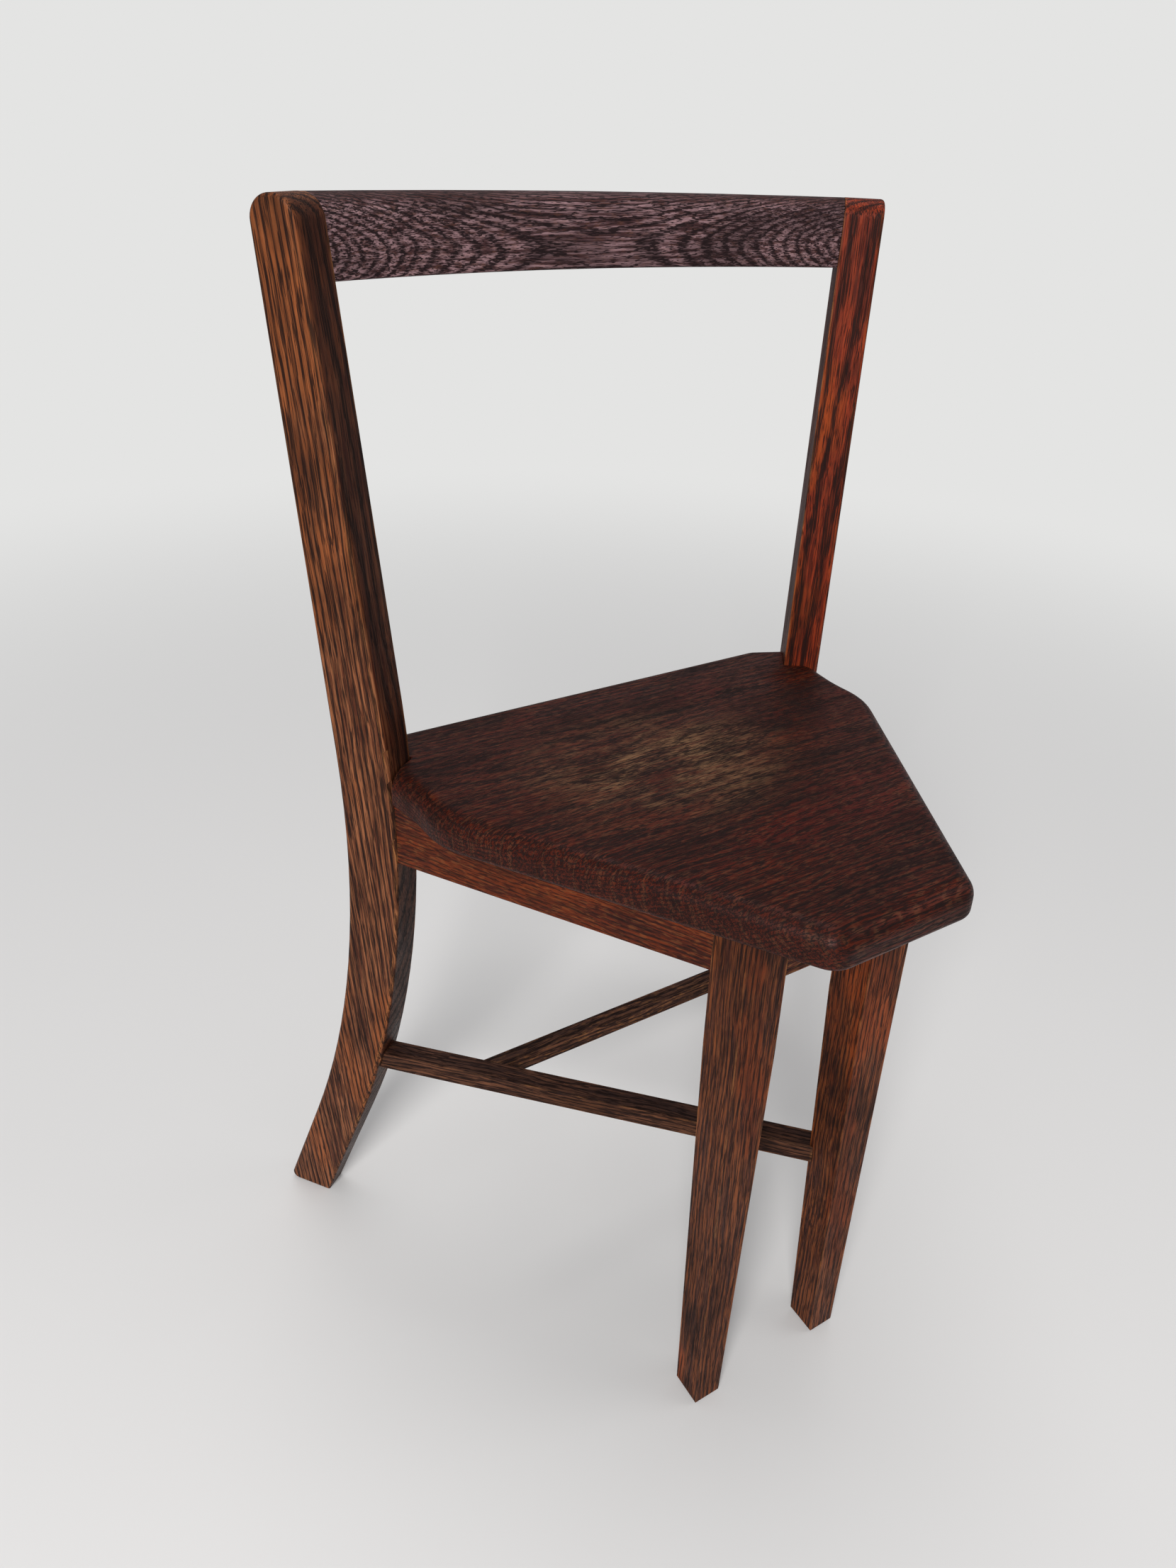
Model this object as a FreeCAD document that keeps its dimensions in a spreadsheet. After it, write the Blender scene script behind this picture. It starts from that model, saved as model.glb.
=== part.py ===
import FreeCAD, Part
import math
import os
import Sketcher

# Oak corner chair: two sabre-curved back posts set at an angle, a bowed crest rail,
# a wedge-shaped seat that narrows to two close front legs, and crossed stretchers.
# Millimetres, +Z up, the sitter faces -Y. The floor is z = 0.
# In plan, every place is given from the line through the two back posts' inner front
# corners; plan_shift then moves the whole chair so that the origin is the middle of
# its bounding box.

Vector = FreeCAD.Vector

DIMENSIONS = {
    # overall
    "seat_height": 450.0,        # top of the seat on the line between the back posts
    "back_height": 778.0,        # top of the crest rail
    "seat_slope": 2.9,           # degrees, the seat rises to the front
    # seat
    "seat_thick": 25.0,
    "seat_depth": 296.0,         # from the back posts' line to the front edge
    "seat_behind": 42.0,         # from the same line to the back edge
    "seat_waist_in": 4.56,       # the waist's sides, inside the posts' outer corners
    "seat_waist_ahead": 29.0,    # and in front of them
    "seat_notch_short": 2.5,     # the back edge's line meets a post this far before its rear
    "seat_shoulder": 79.0,       # where the sides turn inwards, in front of the line
    "seat_front_half": 51.5,     # half width of the front edge
    "seat_back_half": 158.0,     # half width of the straight back edge
    "board_joint": 140.0,        # glued joint of the two seat boards, in front of the line
    "shoulder_round": 60.0,
    "ogee_round": 100.0,
    "nose_round": 17.0,
    "back_round": 22.0,
    "seat_top_round": 13.0,
    "seat_low_round": 5.0,
    # back posts
    "post_splay": 37.0,          # degrees between a post's broad face and the Y axis
    "post_inner_half": 162.0,    # half distance between the inner front corners
    "post_thick": 27.0,
    "post_depth": 39.5,
    "curve_radius": 850.0,
    "curve_level": 396.0,        # height of the foremost point of the curve
    "post_belly": 2.2,           # how far the foremost point stands in front
    "front_lean": 6.3,           # degrees, front edge above the seat
    "rear_lean": 4.24,           # degrees, rear edge above the seat
    "foot_lean": 20.3,           # degrees, both edges at the floor
    "post_top_round": 13.0,
    "post_edge_round": 2.5,
    "foot_heel_round": 6.0,
    "foot_thick": 19.5,
    "foot_taper_level": 150.0,
    # crest rail
    "rail_drop": 42.2,
    "rail_thick": 26.0,
    "rail_bow": 27.0,            # how far the middle stands behind the ends
    "rail_low_chamfer": 1.2,
    "rail_dowel": 9.0,
    "rail_dowel_half": 11.0,     # half length of a dowel
    "rail_dowel_behind": 1.0,    # behind the middle of the rail's foot
    # front legs
    "leg_outer_half": 67.3,
    "leg_foot_front": 262.0,     # front face at the floor, in front of the line
    "leg_rake": 2.2,             # degrees, the front face leans back going up
    "leg_knee": 335.0,           # above this level the leg is not tapered
    "leg_top_wide": 31.0,
    "leg_foot_wide": 21.3,
    "leg_foot_deep": 23.8,
    "leg_foot_chamfer": 2.5,
    # aprons
    "apron_drop": 46.0,
    "apron_thick": 20.0,
    "apron_set_in": 2.0,
    "front_apron_set_back": 3.0,
    "back_apron_middle": 14.5,   # its middle plane, behind the line
    # stretchers
    "stretcher_top": 187.0,
    "stretcher_wide": 16.0,
    "stretcher_tall": 15.0,
    "cross_line": 43.7,          # middle of the cross stretcher, in front of the line
    "cross_wide": 13.5,
    "cross_tall": 13.0,
    # joints
    "joint_gap": 0.1,            # glue line on each face of a tenon or dowel
    "end_gap": 1.0,              # space past the end of a tenon or dowel
    "notch_gap": 0.5,            # seat board around a back post
    "tenon_thick": 8.0,
    "apron_tenon_tall": 26.0,
    "stretcher_tenon_tall": 9.0,
    "post_tenon_deep": 16.0,
    "leg_tenon_deep": 11.0,
    "back_tenon_deep": 10.0,
    "cross_tenon_deep": 5.0,
    # corner blocks and screws
    "rear_block_reach": 58.0,    # along the aprons from the corner they would meet in
    "front_block_reach": 60.0,   # the same, along a side apron
    "front_block_gap": 2.0,      # from the chair's middle to where each ends
    "block_tall": 24.0,
    "screw_thick": 4.0,
    "screw_head": 8.0,
    "screw_head_tall": 2.4,
    "screw_under_head": 14.0,    # shank in a corner block
    "screw_grip": 12.0,          # shank in the apron or the seat
    "seat_dowel": 8.0,
    "seat_dowel_half": 15.0,     # half length of a dowel
    "seat_dowel_pitch": 68.0,
    # place of the whole chair
    "plan_shift": 0.0,
}

LEFT, RIGHT = -1, 1
SIDE_NAMES = {LEFT: "left", RIGHT: "right"}
RAIL_DOWEL_SHARES = (0.28, 0.66)
SEAT_DOWEL_STEPS = (-1.5, -0.5, 0.5, 1.5)
SCREW_ALONG_BLOCK = 0.8     # share of the block's side
RUN_ON = 0.7        # how far the seat's sides run on into the notches, as a share
SCREW_OVERLAP = 1.0  # of a screw's shank inside its head
SINK = 6.0          # how far a tenon or pin runs back into its own bar before they are joined
REACH = 400.0       # more than any piece measures across

doc = FreeCAD.newDocument("corner_chair")
sheet = doc.addObject("Spreadsheet::Sheet", "dims")


class Size:
    """A number together with the sheet expression that gives it."""

    def __init__(self, number, text):
        self.number = float(number)
        self.text = text

    def __add__(self, other):
        other = as_size(other)
        return Size(self.number + other.number, f"({self.text} + {other.text})")

    def __sub__(self, other):
        other = as_size(other)
        return Size(self.number - other.number, f"({self.text} - {other.text})")

    def __mul__(self, other):
        other = as_size(other)
        return Size(self.number * other.number, f"({self.text} * {other.text})")

    def __truediv__(self, other):
        other = as_size(other)
        return Size(self.number / other.number, f"({self.text} / {other.text})")

    def __neg__(self):
        return Size(-self.number, f"(0 - {self.text})")

    __radd__ = __add__
    __rmul__ = __mul__

    def __rsub__(self, other):
        return as_size(other) - self


def as_size(value):
    return value if isinstance(value, Size) else Size(value, f"({float(value)!r})")


def sine(angle):
    return Size(math.sin(math.radians(angle.number)), f"sin({angle.text})")


def cosine(angle):
    return Size(math.cos(math.radians(angle.number)), f"cos({angle.text})")


def tangent(angle):
    return sine(angle) / cosine(angle)


def arc_tangent(ratio):
    return Size(math.degrees(math.atan(ratio.number)), f"(atan({ratio.text}) / 1 deg)")


def arc_sine(ratio):
    return Size(math.degrees(math.asin(ratio.number)), f"(asin({ratio.text}) / 1 deg)")


def fill_sheet():
    for row, (name, value) in enumerate(DIMENSIONS.items(), start=1):
        sheet.set(f"A{row}", name)
        sheet.set(f"B{row}", repr(value))
        sheet.setAlias(f"B{row}", name)
    doc.recompute()


fill_sheet()
D = {name: Size(value, f"dims.{name}") for name, value in DIMENSIONS.items()}


# Placing and naming

def place(piece, x, y, z, turn=0.0, tip=0.0):
    """Puts a piece at (x, y, z) of the plan, turned about Z, or tipped about X."""
    axis = Vector(1, 0, 0) if tip else Vector(0, 0, 1)
    angle = as_size(tip if tip else turn)
    piece.Placement = FreeCAD.Placement(Vector(), FreeCAD.Rotation(axis, angle.number))
    for name, value in (("x", as_size(x)), ("y", as_size(y) + D["plan_shift"]), ("z", as_size(z))):
        piece.setExpression(f"Placement.Base.{name}", value.text)
    piece.setExpression("Placement.Rotation.Angle", angle.text)
    return piece


def origin_plane(body, role):
    return [item for item in body.Origin.OriginFeatures if item.Role == role][0]


def new_sketch(body, name, role, level=None):
    sketch = body.newObject("Sketcher::SketchObject", name)
    sketch.AttachmentSupport = [(origin_plane(body, role), "")]
    sketch.MapMode = "FlatFace"
    if level is not None:
        sketch.setExpression("AttachmentOffset.Base.z", as_size(level).text)
    return sketch


def pin_point(sketch, item, end, point, label):
    """Holds one end of a line or arc at a place given by two sheet expressions."""
    for axis, value in zip("XY", point):
        value = as_size(value)
        index = sketch.addConstraint(
            Sketcher.Constraint("Distance" + axis, -1, 1, item, end, value.number))
        sketch.renameConstraint(index, f"{label}_{axis}")
        sketch.setExpression(f"Constraints.{label}_{axis}", value.text)


def flat_point(x, y):
    return Vector(x.number, y.number, 0)


def heading_of(arrow):
    return math.atan2(arrow.y, arrow.x)


def draw_outline(sketch, corners, bends=None):
    """Closed outline through the corners. For a side that is an arc, bends gives the arc's
    centre and either its radius or, for a half circle, the level of its centre."""
    bends = bends or {}
    count = len(corners)
    spots = [Vector(as_size(x).number, as_size(y).number, 0) for x, y in corners]
    ends = []
    for side in range(count):
        start, end = spots[side], spots[(side + 1) % count]
        clockwise = False
        if side in bends:
            centre = bends[side][0]
            clockwise = (start - centre).cross(end - centre).z < -1e-6
            first, last = (end, start) if clockwise else (start, end)
            swept = (heading_of(last - centre) - heading_of(first - centre)) % math.tau
            halfway = heading_of(first - centre) + swept / 2
            middle = Vector(math.cos(halfway), math.sin(halfway), 0) * (first - centre).Length
            sketch.addGeometry(Part.Arc(first, centre + middle, last), False)
        else:
            sketch.addGeometry(Part.LineSegment(start, end), False)
        ends.append((2, 1) if clockwise else (1, 2))
    for side in range(count):
        following = (side + 1) % count
        sketch.addConstraint(Sketcher.Constraint(
            "Coincident", side, ends[side][1], following, ends[following][0]))
    for side, corner in enumerate(corners):
        pin_point(sketch, side, ends[side][0], corner, f"corner{side}")
    for side, (centre, radius, level) in bends.items():
        if level is None:
            index = sketch.addConstraint(Sketcher.Constraint("Radius", side, radius.number))
            value = radius
        else:
            index = sketch.addConstraint(
                Sketcher.Constraint("DistanceY", -1, 1, side, 3, level.number))
            value = level
        sketch.renameConstraint(index, f"bend{side}")
        sketch.setExpression(f"Constraints.bend{side}", value.text)


def pad(body, name, sketch, length, reverse=False):
    feature = body.newObject("PartDesign::Pad", name)
    feature.Profile = sketch
    feature.Reversed = reverse
    feature.setExpression("Length", as_size(length).text)
    doc.recompute()
    return feature


def round_edges(body, name, base, radius, wanted):
    """Rounds every edge of the feature for which wanted(edge) is true."""
    names = [f"Edge{n}" for n, edge in enumerate(base.Shape.Edges, start=1) if wanted(edge)]
    if not names:
        raise RuntimeError(f"{name}: no edge to round")
    feature = body.newObject("PartDesign::Fillet", name)
    feature.Base = (base, names)
    feature.setExpression("Radius", radius.text)
    doc.recompute()
    return feature


def edge_middle(edge):
    return edge.valueAt((edge.FirstParameter + edge.LastParameter) / 2)


def fuse(name, pieces):
    joined = doc.addObject("Part::MultiFuse", name)
    joined.Shapes = pieces
    joined.Refine = True
    return joined


def cut(name, base, tools):
    """The base less its tools."""
    for number, tool in enumerate(tools):
        step = doc.addObject("Part::Cut", f"{name}_{number}")
        step.Base = base
        step.Tool = tool
        base = step
    return base


def common(name, base, tool):
    step = doc.addObject("Part::Common", name)
    step.Base = base
    step.Tool = tool
    return step


def group(name, pieces):
    """Several separate solids as one piece."""
    together = doc.addObject("Part::Compound", name)
    together.Links = pieces
    return together


def beam(name, side, half, line, heading, before, after, wide, low, tall):
    """Straight bar in plan. It passes (half, line), heads forwards and inwards by the
    heading angle, and runs from before to after that point; side mirrors it."""
    wide, before, after = as_size(wide), as_size(before), as_size(after)
    heading = as_size(heading)
    box = doc.addObject("Part::Box", name)
    box.setExpression("Length", (before + after).text)
    box.setExpression("Width", wide.text)
    box.setExpression("Height", as_size(tall).text)
    turn = -90.0 - side * heading
    along = (cosine(turn), sine(turn))
    x = side * as_size(half) - before * along[0] + wide / 2 * along[1]
    y = as_size(line) - before * along[1] - wide / 2 * along[0]
    return place(box, x, y, low, turn=turn)


def pin(name, radius, x, y, z, length, turn=None, tip=None):
    """Round pin from (x, y, z). With turn it lies flat along that direction, with tip it
    leans back from upright by that angle."""
    shaft = doc.addObject("Part::Cylinder", name)
    shaft.setExpression("Radius", as_size(radius).text)
    shaft.setExpression("Height", as_size(length).text)
    if turn is None:
        return place(shaft, x, y, z, tip=tip)
    turn = as_size(turn)
    flat = FreeCAD.Rotation(Vector(0, 0, 1), turn.number) * FreeCAD.Rotation(Vector(0, 1, 0), 90)
    shaft.Placement = FreeCAD.Placement(Vector(), flat)
    for axis, value in (("x", as_size(x)), ("y", as_size(y) + D["plan_shift"]), ("z", as_size(z))):
        shaft.setExpression(f"Placement.Base.{axis}", value.text)
    return shaft


# Finished pieces by name, and the holes that each of them gets

finished, holes = {}, {}


def bore(node, tool):
    """Notes a tool that is to be cut from a node once all of them are known."""
    holes.setdefault(node, []).append(tool)


# Shared places

slope = D["seat_slope"]
splay = D["post_splay"]
under_middle = D["seat_height"] - D["seat_thick"] / cosine(slope)
outer_corner = (D["post_inner_half"] + D["post_thick"] * cosine(splay),
                -(D["post_thick"] * sine(splay)))
arc_middle = D["curve_radius"] - D["post_belly"]
waist_half = outer_corner[0] - D["seat_waist_in"]


def under_seat(line):
    """Height of the seat's underside at a distance from the back posts' line."""
    return under_middle - as_size(line) * tangent(slope)


def post_point(forward, inward):
    """Place in plan of a point of a back post: forward is its distance behind the
    outer front corner along the broad face, inward its depth from the outer face."""
    half = outer_corner[0] + forward * sine(splay) - inward * cosine(splay)
    line = outer_corner[1] + forward * cosine(splay) + inward * sine(splay)
    return half, line


def curve_height(lean):
    return D["curve_level"] + D["curve_radius"] * sine(lean)


def curve_reach(lean, shift=0.0):
    return arc_middle + shift - D["curve_radius"] * cosine(lean)


def post_front_above(level):
    """Front edge of a back post above the curve, at a height."""
    lean = D["front_lean"]
    return curve_reach(lean) + (as_size(level) - curve_height(lean)) * tangent(lean)


def post_front_on_curve(level):
    drop = D["curve_level"] - as_size(level)
    lean = arc_sine(drop / D["curve_radius"])
    return curve_reach(lean)


def leg_front(level):
    return -D["leg_foot_front"] + as_size(level) * tangent(D["leg_rake"])


def leg_wide(level):
    gain = (D["leg_top_wide"] - D["leg_foot_wide"]) / D["leg_knee"]
    return D["leg_foot_wide"] + gain * level


def leg_deep(level):
    gain = (D["leg_top_wide"] - D["leg_foot_deep"]) / D["leg_knee"]
    return D["leg_foot_deep"] + gain * level


def make_slab():
    """The space between the seat's underside and the aprons' lower edges."""
    slab = doc.addObject("Part::Box", "apron_space")
    slab.setExpression("Length", as_size(2 * REACH).text)
    slab.setExpression("Width", as_size(2 * REACH).text)
    slab.setExpression("Height", D["apron_drop"].text)
    y = -(D["apron_drop"] * sine(slope)) - REACH * cosine(slope)
    z = under_middle - D["apron_drop"] * cosine(slope) + REACH * sine(slope)
    return place(slab, -REACH, y, z, tip=-slope)


def make_seat_space():
    """Everything above the seat's underside, which trims the front legs' tops."""
    space = doc.addObject("Part::Box", "seat_space")
    space.setExpression("Length", as_size(2 * REACH).text)
    space.setExpression("Width", as_size(2 * REACH).text)
    space.setExpression("Height", as_size(REACH).text)
    return place(space, -REACH, -(REACH * cosine(slope)),
                 under_middle + REACH * sine(slope), tip=-slope)


# Back posts

def make_post(side):
    """Sabre-curved board: straight above, one long curve, straight to the foot."""
    body = doc.addObject("PartDesign::Body", f"{SIDE_NAMES[side]}_post_blank")
    depth = D["post_depth"]
    foot = D["foot_lean"]
    low = D["curve_level"] - D["curve_radius"] * sine(foot)
    low_front = curve_reach(foot)
    floor_gain = low * tangent(foot)
    rear = D["rear_lean"]
    top = D["back_height"]
    rear_top = curve_reach(rear, depth) + (top - curve_height(rear)) * tangent(rear)
    corners = [
        (low_front + floor_gain, as_size(0.0)),
        (low_front + floor_gain + depth, as_size(0.0)),
        (low_front + depth, low),
        (curve_reach(rear, depth), curve_height(rear)),
        (rear_top, top),
        (post_front_above(top), top),
        (curve_reach(D["front_lean"]), curve_height(D["front_lean"])),
        (low_front, low),
    ]
    front_centre = flat_point(arc_middle, D["curve_level"])
    rear_centre = flat_point(arc_middle + depth, D["curve_level"])
    sketch = new_sketch(body, "profile", "XZ_Plane")
    draw_outline(sketch, corners, {2: (rear_centre, D["curve_radius"], None),
                                   6: (front_centre, D["curve_radius"], None)})
    inward = side
    board = pad(body, "board", sketch, D["post_thick"], reverse=side == RIGHT)
    taper = new_sketch(body, "foot_taper_profile", "YZ_Plane")
    fall = (D["post_thick"] - D["foot_thick"]) / D["foot_taper_level"]
    beyond = 10.0
    draw_outline(taper, [
        (inward * D["post_thick"], D["foot_taper_level"]),
        (inward * (D["foot_thick"] - fall * beyond), as_size(-beyond)),
        (inward * (D["post_thick"] + beyond), as_size(-beyond)),
        (inward * (D["post_thick"] + beyond), D["foot_taper_level"]),
    ])
    pocket = body.newObject("PartDesign::Pocket", "foot_taper")
    pocket.Profile = taper
    pocket.Type = "ThroughAll"
    pocket.Midplane = True
    doc.recompute()
    if pocket.Shape.Volume >= board.Shape.Volume - 1.0:
        raise RuntimeError("the foot taper cut nothing")
    crown = round_edges(
        body, "top_rounding", pocket, D["post_top_round"],
        lambda edge: edge.BoundBox.ZMin > D["back_height"].number - 0.01
        and edge.BoundBox.XLength < 0.01)
    heel_reach = (low_front + floor_gain + depth).number
    heel = round_edges(
        body, "heel_rounding", crown, D["foot_heel_round"],
        lambda edge: edge.BoundBox.ZMax < 0.01 and edge.BoundBox.XMin > heel_reach - 0.01)
    round_edges(
        body, "outer_edge_rounding", heel, D["post_edge_round"],
        lambda edge: max(abs(edge.BoundBox.YMin), abs(edge.BoundBox.YMax)) < 0.01
        and edge.BoundBox.ZMax > 0.01)
    place(body, side * outer_corner[0], outer_corner[1], 0.0, turn=90.0 - side * splay)
    return body


# Front legs

def leg_stretch(name, side, low, high, low_size, high_size):
    """Four-sided stretch of a leg between two levels, each with its own section."""
    wedge = doc.addObject("Part::Wedge", name)
    for prefix, level, size_level in (("", low, low_size), ("2", high, high_size)):
        outer = D["leg_outer_half"]
        inner = outer - leg_wide(size_level)
        least, most = (inner, outer) if side == RIGHT else (-outer, -inner)
        front = leg_front(level)
        rear = front + leg_deep(size_level)
        wedge.setExpression(f"X{prefix}min", least.text)
        wedge.setExpression(f"X{prefix}max", most.text)
        wedge.setExpression(f"Z{prefix}min", (-rear).text)
        wedge.setExpression(f"Z{prefix}max", (-front).text)
    wedge.setExpression("Ymin", low.text)
    wedge.setExpression("Ymax", high.text)
    return place(wedge, 0.0, 0.0, 0.0, tip=90.0)


def make_leg(side):
    """Square leg, tapered on its inner and rear faces below the knee."""
    floor, knee = as_size(0.0), D["leg_knee"]
    head = D["seat_height"] + D["seat_thick"]
    name = SIDE_NAMES[side]
    stock = fuse(f"{name}_leg_stock", [
        leg_stretch(f"{name}_leg_taper", side, floor, knee, floor, knee),
        leg_stretch(f"{name}_leg_head", side, knee, head, knee, knee)])
    doc.recompute()
    body = doc.addObject("PartDesign::Body", f"{name}_leg_blank")
    body.BaseFeature = stock
    doc.recompute()
    whole = body.Tip
    chamfer = body.newObject("PartDesign::Chamfer", "foot_chamfer")
    chamfer.Base = (whole, [f"Edge{n}" for n, edge in enumerate(whole.Shape.Edges, start=1)
                            if edge.BoundBox.ZMax < 0.01])
    chamfer.setExpression("Size", D["leg_foot_chamfer"].text)
    doc.recompute()
    return body


# Seat

def seat_half_at(forward):
    """Half width of the seat's straight side at a distance in front of the line."""
    run = D["seat_depth"] - D["seat_shoulder"]
    gain = (waist_half - D["seat_front_half"]) / run
    return D["seat_front_half"] + gain * (D["seat_depth"] - forward)


def mirrored(points):
    """An outline's left half, given from back to front, and then its right half."""
    left = [(-x, y) for x, y in points]
    return left + list(reversed(points))


def make_board(name, points):
    """Seat board from its half outline; its outer edges are rounded, its joint isn't."""
    body = doc.addObject("PartDesign::Body", name)
    sketch = new_sketch(body, "outline", "XY_Plane")
    draw_outline(sketch, mirrored(points))
    base = pad(body, "board", sketch, D["seat_thick"], reverse=True)
    return body, base


def upright_at(spots):
    """Picks the upright edges that stand at the given corners of an outline."""
    places = [(x.number, y.number) for x, y in spots]

    def wanted(edge):
        middle = edge_middle(edge)
        return edge.BoundBox.ZLength > 1.0 and any(
            math.hypot(abs(middle.x) - abs(x), middle.y - y) < 0.05 for x, y in places)
    return wanted


def rim_edges(level, skip):
    """Picks the edges of the outline at a level, but not those that skip names."""
    def wanted(edge):
        box = edge.BoundBox
        flat = abs(box.ZMin - level) < 0.01 and abs(box.ZMax - level) < 0.01
        return flat and not skip(edge_middle(edge))
    return wanted


def make_seat_boards():
    joint = D["board_joint"]
    corner = outer_corner
    waist = (waist_half, corner[1] - D["seat_waist_ahead"])
    past_post = (corner[0] + (corner[0] - waist[0]) * RUN_ON,
                 corner[1] + (corner[1] - waist[1]) * RUN_ON)
    post_back = post_point(D["post_depth"] - D["seat_notch_short"], D["post_thick"])
    back_corner = (D["seat_back_half"], D["seat_behind"])
    past_back = (post_back[0] + (post_back[0] - back_corner[0]) * RUN_ON,
                 post_back[1] + (post_back[1] - back_corner[1]) * RUN_ON)
    shoulder = (waist_half, -D["seat_shoulder"])
    joint_end = (seat_half_at(joint), -joint)
    nose = (D["seat_front_half"], -D["seat_depth"])

    rear, rear_base = make_board(
        "seat_rear_blank", [back_corner, past_back, past_post, waist, shoulder, joint_end])
    step = round_edges(rear, "shoulder_rounding", rear_base, D["shoulder_round"],
                       upright_at([shoulder]))
    step = round_edges(rear, "ogee_rounding", step, D["ogee_round"], upright_at([waist]))
    step = round_edges(rear, "corner_rounding", step, D["back_round"], upright_at([back_corner]))

    def in_notch_or_joint(spot):
        at_joint = abs(spot.y + joint.number) < 0.01
        between = (past_back[0].number + past_post[0].number) / 2
        in_notch = abs(abs(spot.x) - between) < 3.0 and spot.y > corner[1].number
        return at_joint or in_notch

    step = round_edges(rear, "top_rounding", step, D["seat_top_round"],
                       rim_edges(0.0, in_notch_or_joint))
    round_edges(rear, "low_rounding", step, D["seat_low_round"],
                rim_edges(-D["seat_thick"].number, in_notch_or_joint))
    place(rear, 0.0, 0.0, D["seat_height"], tip=-slope)

    front, front_base = make_board("seat_front_blank", [joint_end, nose])
    step = round_edges(front, "nose_rounding", front_base, D["nose_round"], upright_at([nose]))

    def at_joint(spot):
        return abs(spot.y + joint.number) < 0.01

    step = round_edges(front, "top_rounding", step, D["seat_top_round"],
                       rim_edges(0.0, at_joint))
    round_edges(front, "low_rounding", step, D["seat_low_round"],
                rim_edges(-D["seat_thick"].number, at_joint))
    place(front, 0.0, 0.0, D["seat_height"], tip=-slope)
    return rear, front


def post_notch(side):
    """Upright space around a back post, open to the outside, that the seat leaves free."""
    box = doc.addObject("Part::Box", f"{SIDE_NAMES[side]}_seat_notch")
    past = 40.0
    clear = D["notch_gap"]
    box.setExpression("Length", (D["post_depth"] + D["post_belly"] + clear + past).text)
    box.setExpression("Width", (D["post_thick"] + clear + past).text)
    box.setExpression("Height", as_size(2 * REACH).text)
    start = -(D["post_belly"] + clear)
    inward = D["post_thick"] + clear if side == LEFT else as_size(-past)
    half, line = post_point(start, inward)
    return place(box, side * half, line, 0.0, turn=90.0 - side * splay)


# Crest rail

rail_low = D["back_height"] - D["rail_drop"]
rail_end = post_point(post_front_above(rail_low), D["post_thick"])
rail_radius = (rail_end[0] * rail_end[0] + D["rail_bow"] * D["rail_bow"]) / (2.0 * D["rail_bow"])
rail_centre = rail_end[1] + D["rail_bow"] - rail_radius
rail_end_angle = arc_sine(rail_end[0] / rail_radius)


def make_rail():
    """Bowed rail, leaning with the posts, its top a half round like theirs."""
    body = doc.addObject("PartDesign::Body", "crest_rail_blank")
    rise = tangent(D["front_lean"]) * cosine(splay - rail_end_angle)
    lean = arc_tangent(rise)
    thick, top = D["rail_thick"], D["back_height"]
    crown_radius = thick / 2 * cosine(lean)
    crown_level = top - crown_radius
    crown_reach = rail_radius + thick / 2 + (crown_level - rail_low) * rise
    side_reach, side_drop = crown_radius * cosine(lean), crown_radius * sine(lean)
    small = D["rail_low_chamfer"]
    inner, outer = rail_radius, rail_radius + thick
    sketch = new_sketch(body, "section", "YZ_Plane")
    draw_outline(sketch, [
        (inner + small, rail_low), (outer - small, rail_low),
        (outer + small * rise, rail_low + small),
        (crown_reach + side_reach, crown_level - side_drop),
        (crown_reach - side_reach, crown_level + side_drop),
        (inner + small * rise, rail_low + small)],
        {3: (flat_point(crown_reach, crown_level), None, crown_level)})
    sweep = body.newObject("PartDesign::Revolution", "bow")
    sweep.Profile = sketch
    sweep.ReferenceAxis = (sketch, ["V_Axis"])
    sweep.Midplane = True
    past_ends = 8.0
    sweep.setExpression("Angle", (2.0 * rail_end_angle + past_ends).text)
    doc.recompute()
    return place(body, 0.0, rail_centre, 0.0)


def rail_trim(side):
    """The space on the outer side of a back post's inner face, which ends the rail."""
    box = doc.addObject("Part::Box", f"{SIDE_NAMES[side]}_rail_trim")
    past = 60.0
    for name in ("Length", "Width"):
        box.setExpression(name, as_size(3 * past).text)
    box.setExpression("Height", as_size(2 * REACH).text)
    inward = D["post_thick"] if side == LEFT else D["post_thick"] - 3 * past
    half, line = post_point(as_size(-past), inward)
    return place(box, side * half, line, rail_low - past, turn=90.0 - side * splay)


def rail_dowel(name, side, share, gap=0.0, end_gap=0.0):
    """Dowel across the joint of rail and post, at a share of the rail's height."""
    level = rail_low + D["rail_drop"] * share
    behind = post_front_above(level) + D["rail_thick"] / 2 + D["rail_dowel_behind"]
    long = D["rail_dowel_half"] + end_gap
    half, line = post_point(behind, D["post_thick"] - long)
    turn = 180.0 - splay if side == RIGHT else splay
    return pin(name, D["rail_dowel"] / 2 + gap, side * half, line, level, 2 * long, turn=turn)


def join_rail():
    """The rail between the posts, its two dowels at each end, and their holes."""
    finished["crest_rail"] = cut("crest_rail_bar", make_rail(),
                                 [rail_trim(LEFT), rail_trim(RIGHT)])
    pins = []
    for side in (LEFT, RIGHT):
        for number, share in enumerate(RAIL_DOWEL_SHARES, start=1):
            name = f"{SIDE_NAMES[side]}_rail_dowel_{number}"
            pins.append(rail_dowel(name, side, share))
            hole = rail_dowel(f"{name}_hole", side, share, D["joint_gap"], D["end_gap"])
            bore("crest_rail", hole)
            bore(f"{SIDE_NAMES[side]}_back_post", hole)
    finished["crest_rail_dowels"] = group("crest_rail_dowel_set", pins)


# Aprons and stretchers

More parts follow.
